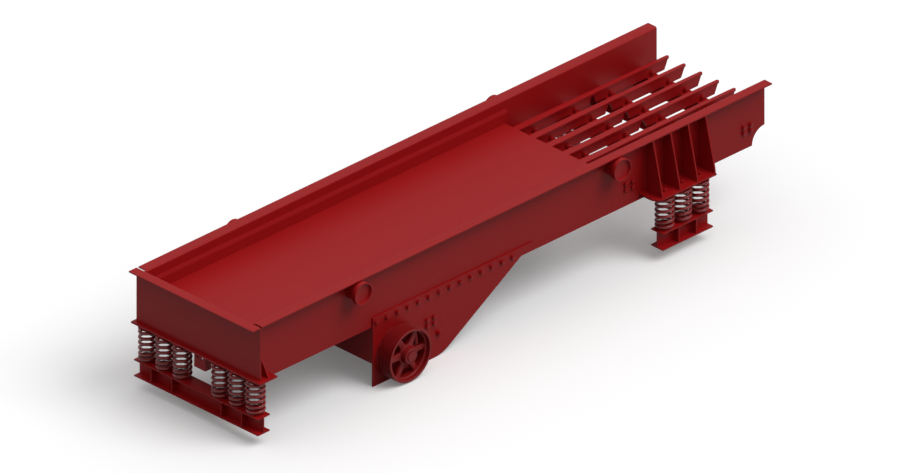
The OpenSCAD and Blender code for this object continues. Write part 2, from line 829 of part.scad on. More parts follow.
module drive_gear() {
    across(shaft_x, shaft_z, gear_y) timing_gear(-line_deg);
}

module driven_gear() {
    across(driven_x, driven_z, gear_y) timing_gear(180 - line_deg + 180 / gear_teeth);
}

// ---- Drive pulley ----

// V-groove section: wide at the rim, y along the pulley's width
module groove_section(y) {
    wide = groove_pitch * 0.4;
    narrow = groove_pitch * 0.22;
    rim_r = pulley_d / 2;
    polygon([
        [rim_r + 1, y - wide], [rim_r + 1, y + wide],
        [rim_r - groove_depth, y + narrow], [rim_r - groove_depth, y - narrow]
    ]);
}

module drive_pulley() {
    rim_in = pulley_d / 2 - groove_depth - rim_wall;
    color(paint) across(shaft_x, shaft_z, -pulley_back) mirror([0, 0, 1]) difference() {
        union() {
            rotate_extrude() difference() {
                translate([rim_in, 0]) square([pulley_d / 2 - rim_in, pulley_w]);
                for (i = [0:groove_count - 1]) groove_section(rim_land + groove_pitch * (i + 0.5));
            }
            cylinder(r = hub_r, h = pulley_w);
            translate([0, 0, pulley_w - spoke_recess - spoke_t]) linear_extrude(spoke_t) {
                circle(hub_r + 8);
                for (i = [0:spoke_count - 1]) rotate(360 * i / spoke_count) polygon([
                    [0, -spoke_w / 2 - 5], [rim_in + 4, -spoke_w / 2],
                    [rim_in + 4, spoke_w / 2], [0, spoke_w / 2 + 5]
                ]);
            }
        }
        translate([0, 0, -1]) cylinder(r = bushing_r + fit_gap, h = pulley_w + 2);
    }
}

module pulley_bushing() {
    bushing_len = bushing_out - pulley_back;
    color(paint) across(shaft_x, shaft_z, -bushing_out)
        chamfered_ring(bushing_r, shaft_end_r + fit_gap, bushing_len, 2);
}

// ---- Bolts in place ----

module side_bolts(side) {
    on_side(side) {
        translate([0, skirt_out, 0]) at_skirt_row() hex_bolt(side_t + skirt_t);
        translate([0, skirt_out, 0]) at_beam_end(low_beam_x, low_beam_z) hex_bolt(skirt_t + beam_plate_t);
        for (x = cross_xs) translate([0, side_out, 0])
            at_beam_end(x, cross_mid_z) hex_bolt(side_t + beam_plate_t);
        for (x = front_spring_xs) translate([x, front_y, seat_top])
            hex_bolt(seat_t + ring_t + boss_h);
    }
}

module hex_bolts() {
    color(paint) {
        for (side = [-1, 1]) side_bolts(side);
        for (y = bar_ys, x = cross_xs)
            across(x, deck_z - bar_bolt_drop, y - bar_web_t / 2)
                mirror([0, 0, 1]) hex_bolt(bar_web_t + lug_t);
    }
}

rear_base();
front_base(1);  // front_base_left
front_base(-1);  // front_base_right
rear_spring(1);  // rear_spring_1
rear_spring(2);  // rear_spring_2
rear_spring(3);  // rear_spring_3
rear_spring(4);  // rear_spring_4
rear_spring(5);  // rear_spring_5
rear_spring(6);  // rear_spring_6
front_spring(1, 1);  // front_left_spring_1
front_spring(1, 2);  // front_left_spring_2
front_spring(1, 3);  // front_left_spring_3
front_spring(-1, 1);  // front_right_spring_1
front_spring(-1, 2);  // front_right_spring_2
front_spring(-1, 3);  // front_right_spring_3
side_plate(1);  // side_plate_left
side_plate(-1);  // side_plate_right
rear_wall();
rear_seat();
deck_plate();
deck_beam(1);  // deck_beam_1
deck_beam(2);  // deck_beam_2
deck_beam(3);  // deck_beam_3
deck_beam(4);  // deck_beam_4
liner(1);  // liner_left
liner(-1);  // liner_right
grizzly_bar(1);  // grizzly_bar_1
grizzly_bar(2);  // grizzly_bar_2
grizzly_bar(3);  // grizzly_bar_3
grizzly_bar(4);  // grizzly_bar_4
grizzly_bar(5);  // grizzly_bar_5
grizzly_bar(6);  // grizzly_bar_6
grizzly_cross(1);  // grizzly_cross_1
grizzly_cross(2);  // grizzly_cross_2
grizzly_cross(3);  // grizzly_cross_3
grizzly_cross(4);  // grizzly_cross_4
front_bracket(1);  // front_bracket_left
front_bracket(-1);  // front_bracket_right
trunnion(1, trunnion_rear_x);  // trunnion_rear_left
trunnion(-1, trunnion_rear_x);  // trunnion_rear_right
trunnion(1, trunnion_front_x);  // trunnion_front_left
trunnion(-1, trunnion_front_x);  // trunnion_front_right
skirt(1);  // skirt_left
skirt(-1);  // skirt_right
skirt_cross_plate();
skirt_beam();
tie_rod();
exciter_housing();
bearing(shaft_x, shaft_z, -1);  // bearing_drive_near
bearing(shaft_x, shaft_z, 1);  // bearing_drive_far
bearing(driven_x, driven_z, -1);  // bearing_driven_near
bearing(driven_x, driven_z, 1);  // bearing_driven_far
shaft_cover();
hex_bolts();
drive_shaft();
drive_gear();
drive_pulley();
pulley_bushing();
driven_shaft();
driven_gear();
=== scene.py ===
"""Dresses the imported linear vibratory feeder: finishes, springs, bolts, castings, welds, light."""

import json
import logging
import math
from dataclasses import dataclass, field
from enum import Enum

import bmesh
import bpy
from bpy.types import ID, Material, Mesh, Node, NodeSocket, NodeTree, Object
from mathutils import Matrix, Vector

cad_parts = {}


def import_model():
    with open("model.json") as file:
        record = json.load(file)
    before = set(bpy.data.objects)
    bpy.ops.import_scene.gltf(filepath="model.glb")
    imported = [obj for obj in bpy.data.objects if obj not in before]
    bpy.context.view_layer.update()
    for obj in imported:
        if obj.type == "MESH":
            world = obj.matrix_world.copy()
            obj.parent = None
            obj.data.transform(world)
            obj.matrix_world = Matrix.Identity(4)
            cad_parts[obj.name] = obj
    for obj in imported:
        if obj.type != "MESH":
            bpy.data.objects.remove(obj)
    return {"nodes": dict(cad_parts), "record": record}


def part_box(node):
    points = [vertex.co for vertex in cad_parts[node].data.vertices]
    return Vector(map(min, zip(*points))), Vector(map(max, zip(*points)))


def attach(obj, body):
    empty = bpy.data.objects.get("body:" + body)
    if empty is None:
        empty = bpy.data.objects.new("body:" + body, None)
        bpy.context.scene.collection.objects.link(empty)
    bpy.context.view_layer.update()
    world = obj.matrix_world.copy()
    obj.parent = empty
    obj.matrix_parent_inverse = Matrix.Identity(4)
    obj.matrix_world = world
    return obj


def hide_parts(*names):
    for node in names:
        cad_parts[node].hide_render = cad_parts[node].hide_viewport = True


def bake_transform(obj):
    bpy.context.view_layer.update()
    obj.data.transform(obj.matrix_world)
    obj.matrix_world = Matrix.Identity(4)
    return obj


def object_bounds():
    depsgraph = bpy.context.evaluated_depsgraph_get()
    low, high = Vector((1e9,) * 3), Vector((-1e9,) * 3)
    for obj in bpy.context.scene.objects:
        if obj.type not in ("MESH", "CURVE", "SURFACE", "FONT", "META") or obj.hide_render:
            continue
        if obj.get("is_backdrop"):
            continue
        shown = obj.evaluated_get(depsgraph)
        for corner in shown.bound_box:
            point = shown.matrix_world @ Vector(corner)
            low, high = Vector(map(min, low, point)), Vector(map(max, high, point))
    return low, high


LOG = logging.getLogger("feeder")
MM = 0.001
FULL_TURN = 2 * math.pi
WHITE = (1.0, 1.0, 1.0, 1.0)
# Points nearer than this are one point, in millimetres.
MERGE_MM = 0.01
# Faces that meet at more than this angle keep a crisp edge, in degrees.
CREASE_DEG = 32.0
# Layers of detail in a coarse pattern and in a fine one.
COARSE_DETAIL, FINE_DETAIL = 3.0, 2.0
MATH, NOISE = "ShaderNodeMath", "ShaderNodeTexNoise"


class Body(Enum):
    """The rigid bodies that the new pieces ride on."""

    BASES = "bases"
    TROUGH = "trough"
    DRIVE = "drive_rotor"


class Side(Enum):
    """The two sides of the feeder, as the way each one lies across it."""

    LEFT = 1.0
    RIGHT = -1.0

    @property
    def label(self) -> str:
        """Returns the side's name in the CAD nodes."""
        return self.name.lower()


# ---- node helpers


def linear(code: str) -> tuple[float, float, float, float]:
    """Turns an sRGB hex colour into linear light.

    Args:
        code: the colour as six hex digits.

    Returns:
        Red, green, blue and an alpha of 1.
    """
    parts = (int(code[i : i + 2], 16) / 255 for i in (0, 2, 4))
    red, green, blue = (c / 12.92 if c <= 0.04045 else ((c + 0.055) / 1.055) ** 2.4 for c in parts)
    return red, green, blue, 1.0


def add_node(tree: NodeTree, kind: str, values: dict) -> Node:
    """Adds one node to a tree, with its settings and its incoming links.

    Args:
        tree: the node tree to add to.
        kind: the node's type name.
        values: an attribute, input name or input number, to its value or to the socket that
            feeds it. A node stands for its first output.

    Returns:
        The new node.
    """
    node = tree.nodes.new(kind)
    for key, value in values.items():
        source = value.outputs[0] if isinstance(value, Node) else value
        if isinstance(source, NodeSocket):
            tree.links.new(source, node.inputs[key])
        elif isinstance(key, str) and hasattr(node, key):
            setattr(node, key, value)
        else:
            node.inputs[key].default_value = value
    return node


# ---- finishes


def new_surface(name: str) -> tuple[Material, NodeTree, Node, NodeSocket]:
    """Starts a material.

    Args:
        name: the material's name.

    Returns:
        The material, its tree, its Principled shader and the Object coordinate socket.
    """
    material = bpy.data.materials.new(name)
    material.use_nodes = True
    tree = material.node_tree
    place = add_node(tree, "ShaderNodeTexCoord", {}).outputs["Object"]
    return material, tree, tree.nodes["Principled BSDF"], place


@dataclass(frozen=True)
class Finish:
    """What every finish has: two near tones, and a fine grain that shows in gloss and relief."""

    name: str
    colour: str
    second_colour: str
    roughness: float
    roughness_spread: float
    grain_mm: float
    grain_depth_mm: float
    relief: float

    def spread(self, tree: NodeTree, shader: Node, tones: Node, grain: Node) -> None:
        """Leads the two patterns into the shader.

        Args:
            tree: the material's tree.
            shader: its Principled shader.
            tones: the pattern that mixes the two colours.
            grain: the pattern that sets the roughness and the relief.
        """
        low, high = self.roughness - self.roughness_spread, self.roughness + self.roughness_spread
        depth = self.grain_depth_mm * MM
        colours = {6: linear(self.colour), 7: linear(self.second_colour)}
        tone = add_node(tree, "ShaderNodeMix", {"data_type": "RGBA", 0: tones, **colours})
        shine = {"To Min": low, "To Max": high, "Value": grain}
        gloss = add_node(tree, "ShaderNodeMapRange", shine)
        raised = {"Strength": self.relief, "Distance": depth, "Height": grain}
        bump = add_node(tree, "ShaderNodeBump", raised)
        tree.links.new(tone.outputs[2], shader.inputs["Base Color"])
        tree.links.new(gloss.outputs[0], shader.inputs["Roughness"])
        tree.links.new(bump.outputs[0], shader.inputs["Normal"])


@dataclass(frozen=True)
class Enamel(Finish):
    """Sprayed enamel on steel: an even colour with a faint drift of tone and a fine orange peel."""

    roughness_spread: float = 0.05
    # Real orange peel is 1 to 3 mm wide. It is drawn coarser, so that it shows.
    grain_mm: float = 14.0
    grain_depth_mm: float = 0.12
    relief: float = 0.35
    drift_mm: float = 600.0
    specular_level: float = 0.2
    coat: float = 0.0
    coat_roughness: float = 0.12

    def build(self) -> Material:
        """Builds the enamel on Object coordinates.

        Returns:
            Its material.
        """
        material, tree, shader, place = new_surface(self.name)
        drift, peel = (
            add_node(tree, NOISE, {"Scale": 1 / (size * MM), "Detail": detail, "Vector": place})
            for size, detail in ((self.drift_mm, COARSE_DETAIL), (self.grain_mm, FINE_DETAIL))
        )
        self.spread(tree, shader, drift, peel)
        shader.inputs["Specular IOR Level"].default_value = self.specular_level
        shader.inputs["Coat Weight"].default_value = self.coat
        shader.inputs["Coat Roughness"].default_value = self.coat_roughness
        return material


@dataclass(frozen=True)
class TurnedSteel(Finish):
    """Bare machined steel: fine tool marks round the part and a soft change of tone."""

    roughness_spread: float = 0.08
    # Real feed marks are about 0.2 mm apart. They are drawn coarser, so that they show.
    grain_mm: float = 1.6
    grain_depth_mm: float = 0.02
    relief: float = 0.4
    # Drawn out in X and Z, the marks run round the shafts, which lie along Y.
    stretch: tuple[float, float, float] = (0.08, 1.0, 0.08)

    def build(self) -> Material:
        """Builds the steel on Object coordinates.

        Returns:
            Its material.
        """
        material, tree, shader, place = new_surface(self.name)
        drawn = add_node(tree, "ShaderNodeMapping", {"Scale": self.stretch, "Vector": place})
        scale = 1 / (self.grain_mm * MM)
        marks = add_node(tree, NOISE, {"Scale": scale, "Detail": FINE_DETAIL, "Vector": drawn})
        self.spread(tree, shader, marks, marks)
        shader.inputs["Metallic"].default_value = 1.0
        return material


@dataclass
class Finishes:
    """Every finish on the feeder, built once and shared."""

    # Satin machinery enamel on welded plate: an even dark red with a soft sheen.
    plate: Enamel = Enamel("satin_red_enamel", "A31215", "9D1114", 0.46)
    # The same enamel on fasteners, which are wiped over and a little glossier.
    fastener: Enamel = Enamel("fastener_red_enamel", "9E1114", "941013", 0.42, grain_mm=6.0)
    # Glossy enamel on spring wire: bright lines of light along each turn.
    spring: Enamel = Enamel(
        "gloss_red_spring_enamel",
        "900E10",
        "860D0F",
        0.3,
        grain_mm=5.0,
        specular_level=0.4,
        coat=0.2,
    )
    # Enamel over cast iron: a grainier skin than on rolled plate.
    casting: Enamel = Enamel(
        "cast_iron_red_enamel",
        "8F1013",
        "870F12",
        0.48,
        grain_mm=7.0,
        grain_depth_mm=0.3,
        specular_level=0.3,
    )
    # Turned shaft steel, left bare: grey with fine rings.
    shaft: TurnedSteel = TurnedSteel("turned_shaft_steel", "A9A6A2", "8C8985", 0.34)
    # Cut gear steel under oil: darker and smoother.
    gear: TurnedSteel = TurnedSteel("oiled_gear_steel", "8E8C88", "6E6C69", 0.28)
    # Ground bearing steel: bright and nearly smooth.
    bearing: TurnedSteel = TurnedSteel("ground_bearing_steel", "C3C3C1", "A8A8A6", 0.2)
    made: dict[str, Material] = field(default_factory=dict)

    def of(self, finish: Enamel | TurnedSteel) -> Material:
        """Gives a finish's material, and builds it the first time.

        Args:
            finish: the finish.

        Returns:
            Its material.
        """
        if finish.name not in self.made:
            self.made[finish.name] = finish.build()
        return self.made[finish.name]


# ---- mesh helpers


def middle(node: str) -> tuple[float, ...]:
    """Returns the middle of a CAD node's box."""
    return tuple((low + high) / 2 for low, high in zip(*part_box(node)))


def round_size(node: str) -> tuple[float, float]:
    """Returns the radius and the length of a CAD node that is round about Y, in millimetres."""
    x, y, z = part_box(node)[1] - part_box(node)[0]
    return min(x, z) / 2 / MM, y / MM


def upright(x: float, y: float, low: float, high: float) -> list[Vector]:
    """Returns an upright line."""
    return [Vector((x, y, low)), Vector((x, y, high))]


def link(name: str, data: ID) -> Object:
    """Adds an object to the scene, at its origin.

    Args:
        name: the object's name.
        data: its mesh, camera or light.

    Returns:
        The object.
    """
    piece = bpy.data.objects.new(name, data)
    bpy.context.scene.collection.objects.link(piece)
    return piece


def plain_mesh(name: str, points: list, edges: list, faces: list) -> Mesh:
    """Makes a mesh from its elements.

    Args:
        name: the mesh's name.
        points: the vertices.
        edges: the loose edges, as vertex numbers.
        faces: the faces, as vertex numbers.

    Returns:
        The mesh.
    """
    mesh = bpy.data.meshes.new(name)
    mesh.from_pydata([tuple(p) for p in points], edges, faces)
    return mesh


def shade(mesh: Mesh, crease_deg: float = CREASE_DEG) -> None:
    """Shades a mesh smooth, apart from its creases."""
    mesh.shade_smooth()
    mesh.set_sharp_from_angle(angle=math.radians(crease_deg))


def paint(mesh: Mesh, material: Material) -> None:
    """Gives a whole mesh one material."""
    mesh.materials.clear()
    mesh.materials.append(material)


def skin(name: str, points: list[Vector], count: int, closed: bool = False) -> Mesh:
    """Skins a row of rings, with the faces turned outward.

    Args:
        name: the mesh's name.
        points: the rings' points, one ring after the other.
        count: how many points each ring has.
        closed: whether the last ring joins the first; otherwise each end gets a flat cap.

    Returns:
        The closed mesh.
    """
    total = len(points)
    faces = []
    for ring in range(0, total if closed else total - count, count):
        after = (ring + count) % total
        for i in range(count):
            k = (i + 1) % count
            faces.append((ring + i, ring + k, after + k, after + i))
    if not closed:
        faces += [tuple(range(count)), tuple(range(total - count, total))]
    mesh = plain_mesh(name, points, [], faces)
    shape = bmesh.new()
    shape.from_mesh(mesh)
    bmesh.ops.remove_doubles(shape, verts=shape.verts, dist=MERGE_MM * MM)
    bmesh.ops.recalc_face_normals(shape, faces=shape.faces)
    shape.to_mesh(mesh)
    shape.free()
    shade(mesh)
    return mesh


def lathe(name: str, profile: list[tuple[float, float]], steps: int, closed: bool = False) -> Mesh:
    """Turns a profile round the Z axis.

    Args:
        name: the mesh's name.
        profile: radius and height of each point, in millimetres.
        steps: how many flats make the full turn.
        closed: whether the profile runs back to its own start, as a ring's does.

    Returns:
        The mesh, in metres.
    """
    turn = [FULL_TURN * s / steps for s in range(steps)]
    points = [Vector((r * math.cos(a), r * math.sin(a), z)) * MM for r, z in profile for a in turn]
    return skin(name, points, steps, closed)


def arc(centre: tuple[float, float], radius: float, start: float, end: float, steps: int) -> list:
    """Returns the points of a round stretch of a profile, between two angles in degrees."""
    angles = [math.radians(start + (end - start) * i / steps) for i in range(steps + 1)]
    return [(centre[0] + radius * math.cos(a), centre[1] + radius * math.sin(a)) for a in angles]


def join(name: str, parts: list[tuple[Mesh, Matrix]]) -> Mesh:
    """Joins copies of meshes into one.

    Args:
        name: the new mesh's name.
        parts: each mesh, and where its copy goes.

    Returns:
        The joined mesh.
    """
    shape = bmesh.new()
    for mesh, place in parts:
        copy = mesh.copy()
        copy.transform(place)
        shape.from_mesh(copy)
        bpy.data.meshes.remove(copy)
    whole = bpy.data.meshes.new(name)
    shape.to_mesh(whole)
    shape.free()
    shade(whole)
    return whole


def solids_of(source: Mesh, merge_mm: float) -> list[list[Vector]]:
    """Splits a mesh of loose triangles into its separate solids.

    Args:
        source: the mesh, which stays as it is.
        merge_mm: how near two points are one, in millimetres.

    Returns:
        Each solid's points.
    """
    shape = bmesh.new()
    shape.from_mesh(source)
    bmesh.ops.remove_doubles(shape, verts=shape.verts, dist=merge_mm * MM)
    shape.verts.index_update()
    shape.verts.ensure_lookup_table()
    left = set(range(len(shape.verts)))
    found = []
    while left:
        queue, points = [left.pop()], []
        while queue:
            vertex = shape.verts[queue.pop()]
            points.append(vertex.co.copy())
            near = {edge.other_vert(vertex).index for edge in vertex.link_edges} & left
            left -= near
            queue.extend(near)
        found.append(points)
    shape.free()
    return found


def dress(piece: Object, material: Material, slot: str, *nodes: str) -> None:
    """Gives a finished piece its material, and reports it.

    Args:
        piece: the finished piece, which already rides on its body.
        material: its material.
        slot: the record's material slot; not used.
        nodes: the CAD nodes that it stands for.
    """
    paint(piece.data, material)
    if nodes:
        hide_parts(*nodes)
    LOG.info("%s: %d faces", piece.name, len(piece.data.polygons))


# ---- Geometry Nodes


class Shaper:
    """A Geometry Nodes tree with named inputs, run once and baked to a plain mesh."""

    def __init__(self, name: str, inputs: dict[str, list[str]]) -> None:
        """Starts the tree.

        Args:
            name: the tree's name.
            inputs: a kind of socket to the names of its inputs. Every tree has a Geometry and a
                Material input besides these.
        """
        self.tree = bpy.data.node_groups.new(name, "GeometryNodeTree")
        face = self.tree.interface
        for kind, labels in {"Geometry": ["Geometry"], **inputs, "Material": ["Material"]}.items():
            for label in labels:
                face.new_socket(label, in_out="INPUT", socket_type="NodeSocket" + kind)
        face.new_socket("Geometry", in_out="OUTPUT", socket_type="NodeSocketGeometry")
        self.given = self.tree.nodes.new("NodeGroupInput").outputs

    def add(self, kind: str, values: dict) -> Node:
        """Adds one node to the tree and returns it."""
        return add_node(self.tree, kind, values)

    def end(self, shape: Node) -> None:
        """Ends the tree: realises instances and sets the material.

        Args:
            shape: the node that gives the geometry to hand out.
        """
        real = self.add("GeometryNodeRealizeInstances", {0: shape})
        painted = self.add(
            "GeometryNodeSetMaterial", {"Geometry": real, "Material": self.given["Material"]}
        )
        self.add("NodeGroupOutput", {0: painted})

    def run(self, name: str, seed: Mesh, values: dict) -> Object:
        """Runs the tree on a mesh.

        Args:
            name: the finished piece's name.
            seed: the points or edges that the tree works on.
            values: each input's value.

        Returns:
            The finished piece, with a plain mesh and no modifier.
        """
        holder = link(name + "_seed", seed)
        modifier = holder.modifiers.new("shape", "NODES")
        modifier.node_group = self.tree
        for item in self.tree.interface.items_tree:
            if item.in_out == "INPUT" and item.name in values:
                modifier[item.identifier] = values[item.name]
        bpy.context.view_layer.update()
        graph = bpy.context.evaluated_depsgraph_get()
        mesh = bpy.data.meshes.new_from_object(holder.evaluated_get(graph))
        bpy.data.objects.remove(holder)
        mesh.name = name
        return link(name, mesh)


def copies_tree() -> Shaper:
    """Builds a tree that puts a turned copy of one piece on every point.

    Returns:
        The tree.
    """
    shaper = Shaper("copies_on_points", {"Object": ["Piece"]})
    add, given = shaper.add, shaper.given
    source = add("GeometryNodeObjectInfo", {"Object": given["Piece"]}).outputs["Geometry"]
    turn = add("GeometryNodeInputNamedAttribute", {"data_type": "FLOAT_VECTOR", "Name": "turn"})
    placing = {"Points": given["Geometry"], "Instance": source, "Rotation": turn}
    shaper.end(add("GeometryNodeInstanceOnPoints", placing))
    return shaper


def scatter(
    name: str, mesh: Mesh, places: list[Vector], axes: list[Vector], material: Material
) -> Object:
    """Puts copies of a mesh on points, each with its Z axis along a given direction.

    Args:
        name: the finished piece's name.
        mesh: the mesh to copy, built along Z.
        places: where the copies go.
        axes: each copy's direction.
        material: the copies' material.

    Returns:
        The finished piece.
    """
    model = link(name + "_model", mesh)
    seed = plain_mesh(name + "_points", places, [], [])
    angles = seed.attributes.new("turn", "FLOAT_VECTOR", "POINT")
    turns = [axis.to_track_quat("Z", "Y").to_euler() for axis in axes]
    angles.data.foreach_set("vector", [part for turn in turns for part in turn])
    piece = copies_tree().run(name, seed, {"Piece": model, "Material": material})
    bpy.data.objects.remove(model)
    return piece


def bead_tree() -> Shaper:
    """Builds a tree that lays a rippled weld bead along every line of edges.

    Returns:
        The tree.
    """
    lengths = ["Bead Radius", "Ripple Spacing", "Ripple Depth", "Step"]
    shaper = Shaper("weld_beads", {"Float": lengths, "Int": ["Sides"]})
    add, given = shaper.add, shaper.given
    path = add("GeometryNodeMeshToCurve", {"Mesh": given["Geometry"]})
    fine = add(
        "GeometryNodeResampleCurve", {"mode": "LENGTH", "Curve": path, "Length": given["Step"]}
    )
    run = add("GeometryNodeSplineParameter", {}).outputs["Length"]
    ripples = add(MATH, {"operation": "DIVIDE", 0: run, 1: given["Ripple Spacing"]})
    phase = add(MATH, {"operation": "MULTIPLY", 0: ripples, 1: FULL_TURN})
    wave = add(MATH, {"operation": "SINE", 0: phase})
    swell = {0: wave, 1: given["Ripple Depth"], 2: given["Bead Radius"]}
    radius = add(MATH, {"operation": "MULTIPLY_ADD", **swell})
    section = add("GeometryNodeCurvePrimitiveCircle", {"Radius": 1.0, "Resolution": given["Sides"]})
    sweep = {"Fill Caps": True, "Curve": fine, "Profile Curve": section, "Scale": radius}
    shaper.end(add("GeometryNodeCurveToMesh", sweep))
    return shaper


# ---- springs


@dataclass
class SpringSet:
    """Twelve coil springs with closed and ground ends."""

    nodes: list[str]
    wire: float = 24.0
    turns: float = 6.5
    closed_turns: float = 0.9
    closed_pitch: float = 25.44
    turn_steps: int = 28
    wire_sides: int = 14
    ground: float = 0.22
    crease_deg: float = 40.0

    def tree(self) -> Shaper:
        """Builds the tree that winds a coil on every point.

        Returns:
            The tree.
        """
        sizes = ["Coil Radius", "Wire Radius", "Length", "Turns"]
        sizes += ["Closed Turns", "Closed Pitch", "Ground Depth"]
        shaper = Shaper("coil_springs", {"Float": sizes, "Int": ["Steps", "Wire Sides"]})
        add, given = shaper.add, shaper.given
        line = add("GeometryNodeCurvePrimitiveLine", {})
        fine = add("GeometryNodeResampleCurve", {"Curve": line, "Count": given["Steps"]})
        winding = {"Geometry": fine, "Position": self.winding(shaper)}
        helix = add("GeometryNodeSetPosition", winding)
        circle = {"Resolution": given["Wire Sides"], "Radius": given["Wire Radius"]}
        section = add("GeometryNodeCurvePrimitiveCircle", circle)
        sweep = {"Fill Caps": True, "Curve": helix, "Profile Curve": section}
        wire = add("GeometryNodeCurveToMesh", sweep)
        place = add("GeometryNodeInputPosition", {})
        at = add("ShaderNodeSeparateXYZ", {0: place}).outputs
        raised = add(MATH, {"operation": "MAXIMUM", 0: at[2], 1: 0.0})
        level = add(MATH, {"operation": "MINIMUM", 0: raised, 1: given["Length"]})
        flat = add("ShaderNodeCombineXYZ", {0: at[0], 1: at[1], 2: level})
        ground = add("GeometryNodeSetPosition", {"Geometry": wire, "Position": flat})
        placing = {"Points": given["Geometry"], "Instance": ground}
        shaper.end(add("GeometryNodeInstanceOnPoints", placing))
        return shaper

    def winding(self, shaper: Shaper) -> Node:
        """Works out where the middle of the wire is along its length.

        Args:
            shaper: the tree to add to.

        Returns:
            The node that gives the place.
        """
        known = dict(shaper.given.items())
        known["share"] = shaper.add("GeometryNodeSplineParameter", {}).outputs["Factor"]
        # Each row gives a result's name, its operation and what goes in. Both ends climb at the
        # closed pitch, and the open turns share what is left of the height.
        rows = (
            ("turned", "MULTIPLY", "share", "Turns"),
            ("angle", "MULTIPLY", "turned", FULL_TURN),
            ("cosine", "COSINE", "angle"),
            ("sine", "SINE", "angle"),
            ("across", "MULTIPLY", "Coil Radius", "cosine"),
            ("along", "MULTIPLY", "Coil Radius", "sine"),
            ("both closed", "MULTIPLY", "Closed Turns", 2.0),
            ("open turns", "SUBTRACT", "Turns", "both closed"),
            ("low", "SUBTRACT", "Wire Radius", "Ground Depth"),
            ("both low", "MULTIPLY", "low", 2.0),
            ("spare", "SUBTRACT", "Length", "both low"),
            ("closed rise", "MULTIPLY", "both closed", "Closed Pitch"),
            ("open rise", "SUBTRACT", "spare", "closed rise"),
            ("open pitch", "DIVIDE", "open rise", "open turns"),
            ("first", "MINIMUM", "turned", "Closed Turns"),
            ("beyond", "SUBTRACT", "turned", "Closed Turns"),
            ("past first", "MAXIMUM", "beyond", 0.0),
            ("open part", "MINIMUM", "past first", "open turns"),
            ("last", "SUBTRACT", "past first", "open part"),
            ("closed part", "ADD", "first", "last"),
            ("closed climb", "MULTIPLY", "closed part", "Closed Pitch"),
            ("open climb", "MULTIPLY", "open part", "open pitch"),
            ("climb", "ADD", "closed climb", "open climb"),
            ("height", "ADD", "climb", "low"),
        )
        for name, operation, *terms in rows:
            values = {i: known.get(term, term) for i, term in enumerate(terms)}
            known[name] = shaper.add(MATH, {"operation": operation, **values})
        place = {i: known[name] for i, name in enumerate(("across", "along", "height"))}
        return shaper.add("ShaderNodeCombineXYZ", place)

    def build(self, finishes: Finishes) -> None:
        """Winds all the springs as one piece.

        Args:
            finishes: the shared finishes.
        """
        boxes = [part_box(n) for n in self.nodes]
        feet = [Vector(((lo.x + hi.x) / 2, (lo.y + hi.y) / 2, lo.z)) for lo, hi in boxes]
        low, high = boxes[0]
        wire_r = self.wire / 2 * MM
        material = finishes.of(finishes.spring)
        coils = self.tree().run(
            "coil_springs",
            plain_mesh("spring_feet", feet, [], []),
            {
                "Coil Radius": (max(high.x - low.x, high.y - low.y) - 2 * wire_r) / 2,
                "Wire Radius": wire_r,
                "Length": high.z - low.z,
                "Turns": self.turns,
                "Closed Turns": self.closed_turns,
                "Closed Pitch": self.closed_pitch * MM,
                "Ground Depth": self.ground * self.wire * MM,
                "Steps": int(self.turns * self.turn_steps) + 1,
                "Wire Sides": self.wire_sides,
                "Material": material,
            },
        )
        shade(coils.data, self.crease_deg)
        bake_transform(coils)
        dress(coils, material, "spring_paint", *self.nodes)


# ---- bolts


@dataclass(frozen=True)
class BoltPlace:
    """Where one bolt sits: the face under its head's washer, the way its head points, its grip."""

    seat: Vector
    axis: Vector
    grip: float


